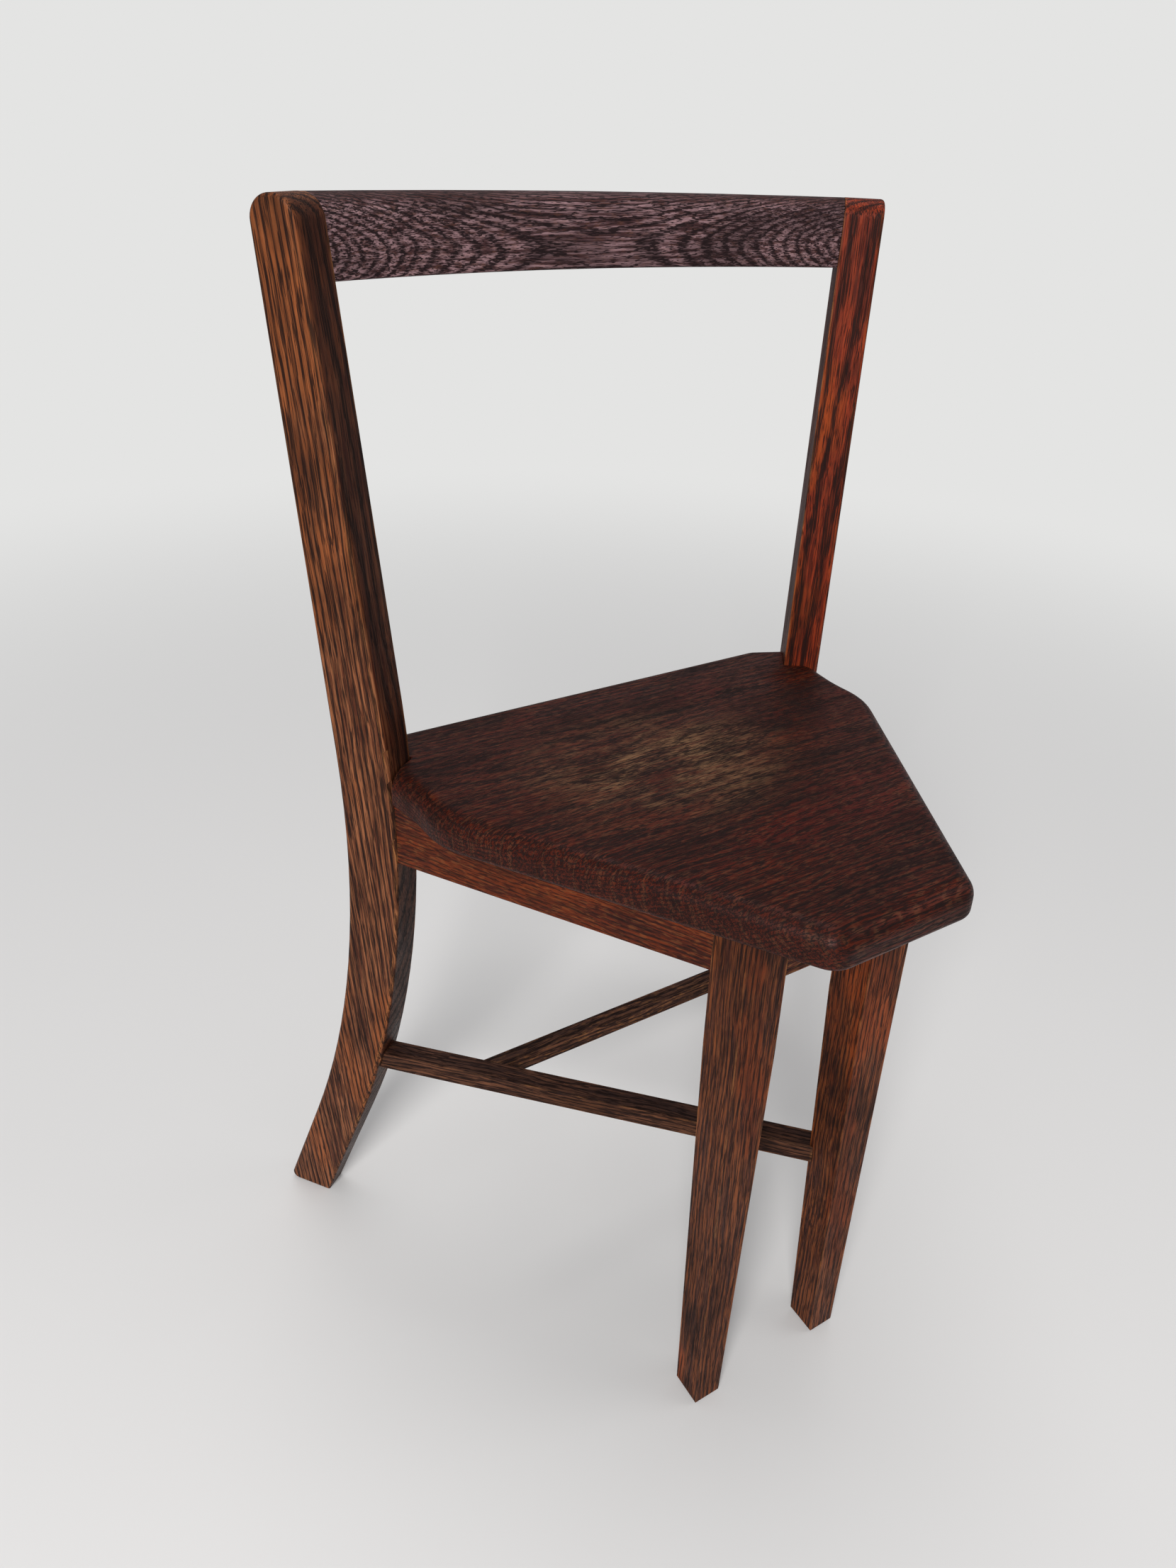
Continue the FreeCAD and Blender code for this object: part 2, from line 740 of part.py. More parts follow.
def tenon(name, side, half, line, heading, into, tall, middle, host, ahead=False):
    """Tenon on a bar's end, and its mortise in the host. It starts at (half, line) on the
    bar's middle line, and heads back along the bar, or ahead."""
    thick, gap = D["tenon_thick"], D["joint_gap"]
    low = middle - tall / 2

    def spread(inside):
        return (SINK, inside) if ahead else (inside, SINK)

    bore(host, beam(f"{name}_mortise", side, half, line, heading, *spread(into + D["end_gap"]),
                    thick + 2 * gap, low - gap, tall + 2 * gap))
    return beam(f"{name}_tenon", side, half, line, heading, *spread(into), thick, low, tall)


apron_level = under_middle - D["apron_drop"] / 2
apron_start = post_point(-D["post_belly"], D["apron_set_in"])
apron_end = (D["leg_outer_half"], leg_front(apron_level) + D["leg_top_wide"])
apron_heading = arc_tangent((apron_start[0] - apron_end[0]) / (apron_start[1] - apron_end[1]))


def make_side_apron(side, slab):
    """Apron from a back post's front face to the rear face of a front leg."""
    name = f"{SIDE_NAMES[side]}_side_apron"
    start, end, heading = apron_start, apron_end, apron_heading
    half_thick = D["apron_thick"] / 2
    middle = (start[0] - half_thick * cosine(heading), start[1] + half_thick * sine(heading))
    length = (start[1] - end[1]) / cosine(heading)
    over = 8.0
    low = D["seat_height"] - 2 * D["apron_drop"]
    stock = beam(f"{name}_stock", side, *middle, heading, over, length + over,
                 D["apron_thick"], low, 3 * D["apron_drop"])
    bar = cut(f"{name}_bar", common(f"{name}_slope", stock, slab),
              [post_blank[side], leg_blank[side]])
    far = (middle[0] - length * sine(heading), middle[1] - length * cosine(heading))
    tall = D["apron_tenon_tall"]
    post, leg = f"{SIDE_NAMES[side]}_back_post", f"{SIDE_NAMES[side]}_front_leg"
    rear = tenon(f"{name}_rear", side, *middle, heading, D["post_tenon_deep"], tall,
                 under_seat(middle[1]) - D["apron_drop"] / 2, post)
    front = tenon(f"{name}_front", side, *far, heading, D["leg_tenon_deep"], tall,
                  under_seat(far[1]) - D["apron_drop"] / 2, leg, ahead=True)
    finished[name] = fuse(f"{name}_whole", [bar, rear, front])


front_apron_level = under_seat(-D["leg_foot_front"]) - D["apron_drop"] / 2
front_apron_line = (leg_front(front_apron_level) + D["front_apron_set_back"]
                    + D["apron_thick"] / 2)


def make_front_apron(slab):
    """Short apron between the front legs' inner faces."""
    inner = D["leg_outer_half"] - D["leg_top_wide"]
    line = front_apron_line
    low = D["seat_height"] - 2 * D["apron_drop"]
    stock = beam("front_apron_stock", RIGHT, inner, line, 90.0, 0.0, 2 * inner,
                 D["apron_thick"], low, 3 * D["apron_drop"])
    bar = common("front_apron_slope", stock, slab)
    middle = under_seat(line) - D["apron_drop"] / 2
    tenons = [tenon(f"front_apron_{SIDE_NAMES[side]}", side, inner, line, 90.0,
                    D["leg_tenon_deep"], D["apron_tenon_tall"], middle,
                    f"{SIDE_NAMES[side]}_front_leg") for side in (LEFT, RIGHT)]
    finished["front_apron"] = fuse("front_apron_whole", [bar] + tenons)


def make_back_apron(slab):
    """Apron between the back posts' inner faces, under the seat's rear edge."""
    line = D["back_apron_middle"]
    along_face = line / cosine(splay)
    inner = D["post_inner_half"] + along_face * sine(splay)
    low = D["seat_height"] - 2 * D["apron_drop"]
    over = 14.0
    stock = beam("back_apron_stock", RIGHT, inner, line, 90.0, over, 2 * inner + over,
                 D["apron_thick"], low, 3 * D["apron_drop"])
    bar = cut("back_apron_bar", common("back_apron_slope", stock, slab),
              [post_blank[LEFT], post_blank[RIGHT]])
    middle = under_seat(line) - D["apron_drop"] / 2
    tenons = [tenon(f"back_apron_{SIDE_NAMES[side]}", side, inner, line, 90.0,
                    D["back_tenon_deep"], D["apron_tenon_tall"], middle,
                    f"{SIDE_NAMES[side]}_back_post") for side in (LEFT, RIGHT)]
    finished["back_apron"] = fuse("back_apron_whole", [bar] + tenons)


def make_stretchers():
    """Two crossed diagonals, halved together, and a cross stretcher behind them."""
    top, tall, wide = D["stretcher_top"], D["stretcher_tall"], D["stretcher_wide"]
    level = top - tall / 2
    start = post_point(post_front_on_curve(level), D["post_thick"] / 2)
    end_line = leg_front(level) + leg_deep(level)
    end_half = D["leg_outer_half"] - leg_wide(level) + wide / 2
    heading = arc_tangent((start[0] + end_half) / (start[1] - end_line))
    length = (start[1] - end_line) / cosine(heading)
    over = 14.0
    crossing = start[0] / sine(heading)
    gap = D["joint_gap"]
    for side in (LEFT, RIGHT):
        name = f"{SIDE_NAMES[side]}_diagonal_stretcher"
        stock = beam(f"{name}_stock", side, *start, heading, over, length + over,
                     wide, top - tall, tall)
        bar = cut(f"{name}_bar", stock, [post_blank[side], leg_blank[-side]])
        tenon_tall = D["stretcher_tenon_tall"]
        rear = tenon(f"{name}_rear", side, *start, heading, D["post_tenon_deep"], tenon_tall,
                     level, f"{SIDE_NAMES[side]}_back_post")
        far = (start[0] - length * sine(heading), end_line)
        front = tenon(f"{name}_front", side, *far, heading, D["leg_tenon_deep"], tenon_tall,
                      level, f"{SIDE_NAMES[-side]}_front_leg", ahead=True)
        finished[name] = fuse(f"{name}_whole", [bar, rear, front])
    crossing_line = start[1] - crossing * cosine(heading)
    for side, low in ((LEFT, level), (RIGHT, level - tall)):
        bore(f"{SIDE_NAMES[side]}_diagonal_stretcher",
             beam(f"{SIDE_NAMES[side]}_halving", -side, as_size(0.0), crossing_line, heading,
                  wide, wide, wide + 2 * gap, low, tall))
    return start, heading


def make_cross_stretcher(start, heading):
    """Short stretcher parallel to the crest rail, tenoned into both diagonals."""
    line = -D["cross_line"]
    top, tall = D["stretcher_top"], D["cross_tall"]
    on_middle = start[0] - (start[1] - line) * tangent(heading)
    stock = beam("cross_stretcher_stock", RIGHT, on_middle, line, 90.0, 0.0, 2 * on_middle,
                 D["cross_wide"], top - tall, tall)
    flank = {}
    for side in (LEFT, RIGHT):
        flank[side] = beam(f"{SIDE_NAMES[side]}_cross_trim", side, *start, heading, 20.0, REACH,
                           D["stretcher_wide"], top - 2 * tall, 3 * tall)
    bar = cut("cross_stretcher_bar", stock, [flank[LEFT], flank[RIGHT]])
    inner = on_middle - D["stretcher_wide"] / 2 / cosine(heading)
    tenons = [tenon(f"cross_stretcher_{SIDE_NAMES[side]}", side, inner, line, 90.0,
                    D["cross_tenon_deep"], D["stretcher_tenon_tall"], top - tall / 2,
                    f"{SIDE_NAMES[side]}_diagonal_stretcher") for side in (LEFT, RIGHT)]
    finished["cross_stretcher"] = fuse("cross_stretcher_whole", [bar] + tenons)


# Corner blocks and screws

def screw(name, spot, turn=None):
    """Screw from its head's underside at a spot, flat along turn, or upright. Returns the
    screw, and the clearance that its head and shank need."""
    shank_long = D["screw_under_head"] + D["screw_grip"]
    gap = D["joint_gap"]
    x, y, z = spot

    def shifted(back):
        if turn is None:
            return x, y, z - back
        return x - back * cosine(turn), y - back * sine(turn), z

    def shaft(label, radius, back, long):
        tip = None if turn is not None else 0.0
        return pin(f"{name}_{label}", radius, *shifted(back), long, turn=turn, tip=tip)

    shank, head = D["screw_thick"] / 2, D["screw_head"] / 2
    recess = 30.0
    whole = fuse(name, [shaft("shank", shank, as_size(SCREW_OVERLAP), shank_long + SCREW_OVERLAP),
                        shaft("head", head, D["screw_head_tall"], D["screw_head_tall"])])
    clearance = fuse(f"{name}_clearance", [
        shaft("hole", shank + gap, as_size(SCREW_OVERLAP), shank_long + D["end_gap"] + SCREW_OVERLAP),
        shaft("recess", head + gap, as_size(recess), recess)])
    return whole, clearance


def make_block(name, side, slab, line, along_side, reach, end_half, host_blanks):
    """Three-sided block in the corner of a side apron and the apron at a line of the plan.
    along_side is 1 when the side apron runs forwards from the corner, or else -1. Its sides
    are reach long, but the cross one can end at the half width end_half instead.
    Returns the corner and the two ends of its sides, and the height of its low face."""
    heading = apron_heading
    inner_half = apron_start[0] - D["apron_thick"] * cosine(heading)
    inner_line = apron_start[1] + D["apron_thick"] * sine(heading)
    run = (inner_line - line) / cosine(heading)
    corner = (inner_half - run * sine(heading), line)
    along = (corner[0] - along_side * reach * sine(heading),
             corner[1] - along_side * reach * cosine(heading))
    across = (corner[0] - reach if end_half is None else end_half, corner[1])
    low = under_seat(along[1] if along_side > 0 else line) - D["block_tall"]
    body = doc.addObject("PartDesign::Body", f"{name}_stock")
    sketch = new_sketch(body, "outline", "XY_Plane")
    spots = [corner, along, across]
    order = spots if side * along_side < 0 else [corner, across, along]
    draw_outline(sketch, [(side * x, y) for x, y in order])
    pad(body, "block", sketch, 2 * D["block_tall"])
    place(body, 0.0, 0.0, low)
    finished[name] = cut(f"{name}_fitted", common(f"{name}_slope", body, slab), host_blanks)
    return corner, along, across, low


def make_corner_blocks(slab):
    """Glued blocks in the four corners. Screws hold the rear ones to the aprons, and one
    through each block holds the seat."""
    heading = apron_heading
    back_face = D["back_apron_middle"] - D["apron_thick"] / 2
    front_face = front_apron_line + D["apron_thick"] / 2
    block_screws, seat_screws = [], []
    for side in (LEFT, RIGHT):
        word = SIDE_NAMES[side]
        for place_name, line, along_side, reach, end_half in (
                ("rear", back_face, 1, D["rear_block_reach"], None),
                ("front", front_face, -1, D["front_block_reach"], D["front_block_gap"])):
            name = f"{place_name}_{word}_corner_block"
            blank = post_blank[side] if place_name == "rear" else leg_blank[side]
            corner, along, across, low = make_block(
                name, side, slab, line, along_side, reach, end_half, [blank])
            centre = [(corner[i] + along[i] + across[i]) / 3 for i in (0, 1)]
            head_level = under_seat(centre[1]) - D["screw_under_head"]
            whole, clearance = screw(f"{place_name}_{word}_seat_screw",
                                     (side * centre[0], centre[1], head_level))
            seat_screws.append(whole)
            bore(name, clearance)
            bore("seat_front_board" if place_name == "front" else "seat_rear_board", clearance)
            if place_name == "front":
                continue
            level = low + D["block_tall"] / 2
            share = as_size(SCREW_ALONG_BLOCK)
            under = D["screw_under_head"]
            on_side = [corner[i] + (along[i] - corner[i]) * share for i in (0, 1)]
            on_back = [corner[i] + (across[i] - corner[i]) * share for i in (0, 1)]
            side_spot = (side * (on_side[0] - under * cosine(heading)),
                         on_side[1] + under * sine(heading), level)
            side_turn = -heading if side == RIGHT else 180.0 + heading
            back_spot = (side * on_back[0], on_back[1] - under, level)
            for label, spot, turn, host in (
                    ("side", side_spot, side_turn, f"{word}_side_apron"),
                    ("back", back_spot, as_size(90.0), "back_apron")):
                whole, clearance = screw(f"{word}_{label}_block_screw", spot, turn)
                block_screws.append(whole)
                bore(name, clearance)
                bore(host, clearance)
    finished["corner_block_screws"] = group("corner_block_screw_set", block_screws)
    finished["seat_screws"] = group("seat_screw_set", seat_screws)


def seat_dowel(name, x, gap=0.0, end_gap=0.0):
    """Dowel across the joint of the seat boards, at mid thickness."""
    long = D["seat_dowel_half"] + end_gap
    behind = long - D["board_joint"]
    deep = D["seat_thick"] / 2
    return pin(name, D["seat_dowel"] / 2 + gap, x,
               behind * cosine(slope) - deep * sine(slope),
               D["seat_height"] - behind * sine(slope) - deep * cosine(slope),
               2 * long, tip=90.0 - slope)


def make_seat():
    """Two boards with a doweled joint, notched around the back posts."""
    rear, front = make_seat_boards()
    finished["seat_rear_board"] = cut("seat_rear_notched", rear,
                                      [post_notch(LEFT), post_notch(RIGHT)])
    finished["seat_front_board"] = front
    pins = []
    for number, step in enumerate(SEAT_DOWEL_STEPS, start=1):
        x = D["seat_dowel_pitch"] * step
        pins.append(seat_dowel(f"seat_dowel_{number}", x))
        hole = seat_dowel(f"seat_dowel_{number}_hole", x, D["joint_gap"], D["end_gap"])
        bore("seat_rear_board", hole)
        bore("seat_front_board", hole)
    finished["seat_joint_dowels"] = group("seat_dowel_set", pins)


# The chair

post_blank = {side: make_post(side) for side in (LEFT, RIGHT)}
leg_blank = {side: make_leg(side) for side in (LEFT, RIGHT)}
seat_space = make_seat_space()
for side in (LEFT, RIGHT):
    finished[f"{SIDE_NAMES[side]}_back_post"] = post_blank[side]
    finished[f"{SIDE_NAMES[side]}_front_leg"] = cut(
        f"{SIDE_NAMES[side]}_leg_trimmed", leg_blank[side], [seat_space])
apron_space = make_slab()
for side in (LEFT, RIGHT):
    make_side_apron(side, apron_space)
make_front_apron(apron_space)
make_back_apron(apron_space)
make_cross_stretcher(*make_stretchers())
make_corner_blocks(apron_space)
make_seat()
join_rail()

nodes = {}
for node, piece in finished.items():
    whole = cut(f"{node}_bored", piece, holes[node]) if node in holes else piece
    whole.Label = node
    nodes[node] = whole
doc.recompute()


# The origin goes under the middle of the chair

def solid_bounds():
    boxes = [piece.Shape.optimalBoundingBox(False) for piece in nodes.values()]
    return min(box.YMin for box in boxes), max(box.YMax for box in boxes)


foremost, rearmost = solid_bounds()
sheet.set(sheet.getCellFromAlias("plan_shift"), repr(round(-(foremost + rearmost) / 2, 2)))
doc.recompute()


# Checks and files

for item in doc.Objects:
    if "Invalid" in item.State or "Error" in item.State:
        raise RuntimeError(f"{item.Name} is in state {item.State}")
os.makedirs("parts", exist_ok=True)
for node, piece in nodes.items():
    if piece.Shape.isNull() or not piece.Shape.isValid() or piece.Shape.Volume <= 0:
        raise RuntimeError(f"{node} has no valid solid")
    piece.Shape.exportStep(f"parts/{node}.step")
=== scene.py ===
import math

import bmesh
import bpy
from mathutils import Matrix, Vector


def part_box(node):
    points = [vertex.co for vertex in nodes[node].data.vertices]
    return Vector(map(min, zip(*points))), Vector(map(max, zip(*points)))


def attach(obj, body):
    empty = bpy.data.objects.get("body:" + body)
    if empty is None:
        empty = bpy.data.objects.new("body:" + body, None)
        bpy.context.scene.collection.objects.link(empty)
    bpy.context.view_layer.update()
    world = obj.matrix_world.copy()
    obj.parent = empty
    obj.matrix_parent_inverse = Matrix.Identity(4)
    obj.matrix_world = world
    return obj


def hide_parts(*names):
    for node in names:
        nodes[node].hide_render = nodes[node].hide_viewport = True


# Dark stained oak corner chair on a plain pale floor.
# Everything is in metres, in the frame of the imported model.

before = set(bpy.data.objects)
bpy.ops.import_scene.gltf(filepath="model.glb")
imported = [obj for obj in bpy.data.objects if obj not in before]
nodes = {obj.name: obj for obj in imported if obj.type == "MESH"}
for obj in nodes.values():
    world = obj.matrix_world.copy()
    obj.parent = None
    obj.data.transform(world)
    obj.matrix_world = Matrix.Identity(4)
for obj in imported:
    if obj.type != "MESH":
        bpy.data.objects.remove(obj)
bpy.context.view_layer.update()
MM = 0.001

# Camera, found from the photograph's perspective: metres, in the model's frame
CAMERA_PLACE = Vector((-0.39941, -0.48639, 0.81425))
CAMERA_RIGHT = Vector((0.85222, -0.52156, 0.04111))
CAMERA_UP = Vector((0.24182, 0.46237, 0.85307))
CAMERA_LENS = 24.898

# How the back posts and the side rails stand in plan, in degrees
POST_SPLAY = 37.0
APRON_HEADING = 29.7
DIAGONAL_HEADING = 44.66
POST_LEAN = 5.0


def linear(text):
    """A colour written as sRGB hex, as the linear RGBA that nodes take."""
    parts = [int(text[i:i + 2], 16) / 255 for i in (1, 3, 5)]
    return [p / 12.92 if p <= 0.04045 else ((p + 0.055) / 1.055) ** 2.4 for p in parts] + [1.0]


# Settings of nodes that are used often. A colour mix has its colours at inputs 6 and 7.
SMOOTH = {"interpolation_type": "SMOOTHSTEP"}
COLOURS = {"data_type": "RGBA", "out": 2}


def add(tree, kind, *values, named=None, out=0, **settings):
    """Adds a node with its settings and returns one output, or None if it has none. Its
    inputs take the values in order, and those in named by name or number: each is a plain
    value or another node's output."""
    node = tree.nodes.new("ShaderNode" + kind)
    for name, value in settings.items():
        setattr(node, name, value)
    for key, value in [*enumerate(values), *(named or {}).items()]:
        socket = node.inputs[key]
        if isinstance(value, bpy.types.NodeSocket):
            tree.links.new(value, socket)
        else:
            socket.default_value = value
    return node.outputs[out] if node.outputs else None


def clouds(tree, place, sizes, detail=2.0, roughness=0.5):
    """A pattern whose features have the given sizes in mm along the three axes."""
    shrunk = add(tree, "VectorMath", place, [1.0 / size for size in sizes],
                 operation="MULTIPLY")
    return add(tree, "TexNoise", named={"Vector": shrunk, "Scale": 1.0, "Detail": detail,
                                        "Roughness": roughness})


def empty_tree(holder):
    """The node tree of a material or world, with nothing in it."""
    holder.use_nodes = True
    holder.node_tree.nodes.clear()
    return holder.node_tree


# Oak, quartered and rift sawn, stained dark with a spirit stain and waxed. The volume is cut
# like a real board: rings, pores and rays are solid patterns, so that end grain, edges and
# faces agree. That gives the eye fine dark dashes along the grain, pale streaks between
# them, a cross hatch on end grain and a soft wax gloss.
#
# Real pores are 0.3 mm wide: they are drawn coarser, so that they show.

RAY_PITCH = 1.6                     # mm between the rays
WANDER_SIZES = (150.0, 40.0, 40.0)  # mm over which the grain wanders
WANDER_REACH = 14.0                 # mm, how far at most

DARK_STAIN = "#120503"
WORN_OAK = "#A8703F"
DUSTY_OAK = "#8A6646"


class Cut:
    """How a piece is cut from the tree: its grain and face directions, the heart's distance
    in mm across and through, its ring pitch in mm, and the shades and wear of its finish."""

    def __init__(self, grain, face, centre, heart=(70.0, 55.0), pitch=3.4,
                 base="#3F1D13", light="#6B3A20", dark=DARK_STAIN, patch="#7A3F20",
                 patch_share=0.35, pore=0.8, ring=0.5, wear=0.5, worn=WORN_OAK, gloss=0.42,
                 wander=1.0, seed=0.0, hatch=0.3, pore_long=12.0, pore_wide=0.8):
        self.grain, self.face, self.centre = Vector(grain), Vector(face), Vector(centre)
        self.heart, self.pitch = heart, pitch
        self.base, self.light, self.dark = base, light, dark
        self.patch, self.patch_share = patch, patch_share
        self.pore, self.ring, self.wear, self.worn = pore, ring, wear, worn
        self.gloss, self.wander, self.seed, self.hatch = gloss, wander, seed, hatch
        self.pore_size = (pore_long, pore_wide, pore_wide)


def board_place(tree, cut):
    """Millimetres along the grain, across the face and through the thickness of a piece."""
    along = cut.grain.normalized()
    through = along.cross(cut.face).normalized()
    across = through.cross(along)
    turn = Matrix((along, across, through))
    shift = -(turn @ cut.centre) / MM + Vector((cut.seed, 0.0, 0.0))
    return add(tree, "Mapping", add(tree, "TexCoord", out="Object"), vector_type="POINT",
               named={"Location": shift, "Rotation": turn.to_euler(), "Scale": [1 / MM] * 3})


def edge_mask(tree, radius):
    """1 on the outer arrises and 0 on faces, from how far a rounded normal turns away."""
    soft = add(tree, "Bevel", radius * MM, samples=4)
    sharp = add(tree, "NewGeometry", out="True Normal")
    along = add(tree, "VectorMath", soft, sharp, operation="DOT_PRODUCT", out="Value")
    return add(tree, "MapRange", along, 0.995, 0.90, 0.0, 1.0, **SMOOTH)


def oak(name, cut, extra=None):
    """Waxed dark oak. extra(tree, place, colour) may change the colour at the end."""
    material = bpy.data.materials.new(name)
    tree = empty_tree(material)
    place = board_place(tree, cut)

    # The tree's growth wanders, and its heart lies beside the piece
    slow = add(tree, "VectorMath", place, [1.0 / size for size in WANDER_SIZES],
               operation="MULTIPLY")
    wander = add(tree, "TexNoise", out="Color",
                 named={"Vector": slow, "Scale": 1.0, "Detail": 3.0})
    centred = add(tree, "VectorMath", wander, (0.5, 0.5, 0.5), operation="SUBTRACT")
    reach_of_wander = WANDER_REACH * cut.wander
    moved = add(tree, "VectorMath", centred, (0.0, reach_of_wander, reach_of_wander), place,
                operation="MULTIPLY_ADD")
    from_heart = add(tree, "VectorMath", moved, (0.0, *cut.heart), operation="ADD")
    along = add(tree, "SeparateXYZ", from_heart)
    across = add(tree, "SeparateXYZ", from_heart, out=1)
    through = add(tree, "SeparateXYZ", from_heart, out=2)
    squares = [add(tree, "Math", side, side, operation="MULTIPLY") for side in (across, through)]
    reach = add(tree, "Math", add(tree, "Math", *squares, operation="ADD"), operation="SQRT")
    turn = add(tree, "Math", across, through, operation="ARCTAN2")

    # Rings, pores, fibres and rays
    half_pitch = cut.pitch / 2
    ring = add(tree, "Math", reach, half_pitch, operation="PINGPONG")
    early = add(tree, "MapRange", ring, 0.62 * half_pitch, 0.12 * half_pitch, 0.0, 1.0, **SMOOTH)
    pore = add(tree, "Math", clouds(tree, moved, cut.pore_size, detail=1.0),
               add(tree, "Math", early, 0.12, operation="MULTIPLY"), operation="ADD")
    pore = add(tree, "MapRange", pore, 0.54, 0.61, 0.0, 1.0, **SMOOTH)
    fibre = clouds(tree, moved, (70.0, 1.8, 1.8), detail=4.0, roughness=0.65)
    round_heart = Vector(cut.heart).length / RAY_PITCH
    ray_place = add(tree, "CombineXYZ", add(tree, "Math", along, 6.0, operation="DIVIDE"),
                    add(tree, "Math", turn, round_heart, operation="MULTIPLY"),
                    add(tree, "Math", reach, 14.0, operation="DIVIDE"))
    ray = add(tree, "TexNoise", named={"Vector": ray_place, "Scale": 1.0, "Detail": 1.0})
    ray = add(tree, "MapRange", ray, 0.50, 0.66, 0.0, 1.0, **SMOOTH)

    # Stain over them, from the palest layer to the darkest
    stain = clouds(tree, place, (150.0, 45.0, 45.0), detail=4.0, roughness=0.6)
    smudge = clouds(tree, place, (85.0, 32.0, 32.0), detail=5.0, roughness=0.62)
    streak = add(tree, "MapRange", fibre, 0.40, 0.60, 0.0, 1.0, **SMOOTH)
    colour = add(tree, "Mix", streak, named={6: linear(cut.base), 7: linear(cut.light)},
                 **COLOURS)
    patch_start = 0.66 - 0.34 * cut.patch_share
    warm = add(tree, "MapRange", stain, patch_start, patch_start + 0.12, 0.0, 1.0, **SMOOTH)
    shade = add(tree, "MapRange", smudge, 0.44, 0.70, 0.0, 0.6, **SMOOTH)
    warm = add(tree, "Math", warm, 0.8, operation="MULTIPLY")
    ray = add(tree, "Math", ray, cut.hatch, operation="MULTIPLY")
    for share, tint in ((warm, cut.patch), (ray, cut.worn), (shade, cut.dark)):
        colour = add(tree, "Mix", share, named={6: colour, 7: linear(tint)}, **COLOURS)
    if extra:
        colour = extra(tree, place, colour)
    for mask, share in ((early, cut.ring), (pore, cut.pore)):
        share = add(tree, "Math", mask, share, operation="MULTIPLY")
        colour = add(tree, "Mix", share, named={6: colour, 7: linear(cut.dark)}, **COLOURS)

    # Arrises rubbed through to paler wood, less so in the pores
    rub = clouds(tree, place, (26.0, 7.0, 7.0), detail=4.0, roughness=0.7)
    rub = add(tree, "MapRange", rub, 0.62 - 0.3 * cut.wear, 0.72, 0.0, 1.0, **SMOOTH)
    worn = add(tree, "Math", edge_mask(tree, 2.4), rub, operation="MULTIPLY")
    spared = add(tree, "MapRange", pore, 0.0, 1.0, 1.0, 0.4, **SMOOTH)
    worn = add(tree, "Math", worn, spared, operation="MULTIPLY")
    worn = add(tree, "Math", worn, 0.8 * cut.wear + 0.1, operation="MULTIPLY")
    colour = add(tree, "Mix", worn, named={6: colour, 7: linear(cut.worn)}, **COLOURS)

    # Open pores stand lower and duller than the waxed face
    depth = add(tree, "Math", add(tree, "Math", fibre, 0.6, operation="MULTIPLY"), pore,
                operation="SUBTRACT")
    bump = add(tree, "Bump", named={"Height": depth, "Strength": 0.5, "Distance": 0.22 * MM})
    waxed = add(tree, "MapRange", smudge, 0.3, 0.7, cut.gloss - 0.05, cut.gloss + 0.12, **SMOOTH)
    rough = add(tree, "Math", add(tree, "Math", pore, 0.14, operation="MULTIPLY"), waxed,
                operation="ADD")
    shader = add(tree, "BsdfPrincipled", colour, named={
        "Roughness": rough, "Normal": bump, "IOR": 1.45, "Specular IOR Level": 0.16})
    add(tree, "OutputMaterial", shader)
    return material


# The pieces


def rebuilt(node, arris):
    """The piece's own shape with its doubled points joined and its arrises eased."""
    source = nodes[node].data
    mesh = bmesh.new()
    mesh.from_mesh(source)
    bmesh.ops.remove_doubles(mesh, verts=mesh.verts, dist=2e-6)
    bmesh.ops.dissolve_limit(mesh, angle_limit=math.radians(0.4), verts=mesh.verts,
                             edges=mesh.edges)
    copy = bpy.data.meshes.new(node + "_wood")
    mesh.to_mesh(copy)
    mesh.free()
    copy.materials.clear()
    piece = bpy.data.objects.new(node + "_wood", copy)
    bpy.context.scene.collection.objects.link(piece)
    for polygon in copy.polygons:
        polygon.use_smooth = True
    ease = piece.modifiers.new("eased_arrises", "BEVEL")
    ease.width = arris * MM
    ease.segments = 2
    ease.limit_method = "ANGLE"
    ease.angle_limit = math.radians(35)
    flats = piece.modifiers.new("true_flats", "WEIGHTED_NORMAL")
    flats.weight = 100
    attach(piece, "root")
    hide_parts(node)
    return piece


# Where the seat is rubbed, in mm from the rear board's middle: to the right and to the rear
SEAT_RUB_MIDDLE = (-20.0, -42.0)
SEAT_RUB_HALF = (112.0, 84.0)


def middle(node):
    low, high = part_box(node)
    return (Vector(low) + Vector(high)) / 2


def wear_seat(tree, place, colour):
    """Pale dusty rub where the seat is sat on, in a thin oval that the grain breaks up."""
    off = add(tree, "VectorMath", place, (*SEAT_RUB_MIDDLE, 0.0), operation="SUBTRACT")
    share = add(tree, "VectorMath", off, (1 / SEAT_RUB_HALF[0], 1 / SEAT_RUB_HALF[1], 0.0),
                operation="MULTIPLY")
    rim = add(tree, "VectorMath", share, operation="LENGTH", out="Value")
    rub = add(tree, "MapRange", rim, 1.1, 0.1, 0.0, 1.0, **SMOOTH)
    cloud = clouds(tree, place, (46.0, 30.0, 30.0), detail=5.0, roughness=0.65)
    cloud = add(tree, "MapRange", cloud, 0.34, 0.64, 0.0, 1.0, **SMOOTH)
    streak = clouds(tree, place, (13.0, 1.6, 1.6), detail=1.0)
    streak = add(tree, "MapRange", streak, 0.38, 0.58, 0.25, 1.0, **SMOOTH)
    for factor in (cloud, streak, 0.75):
        rub = add(tree, "Math", rub, factor, operation="MULTIPLY")
    return add(tree, "Mix", rub, named={6: colour, 7: linear(DUSTY_OAK)}, **COLOURS)


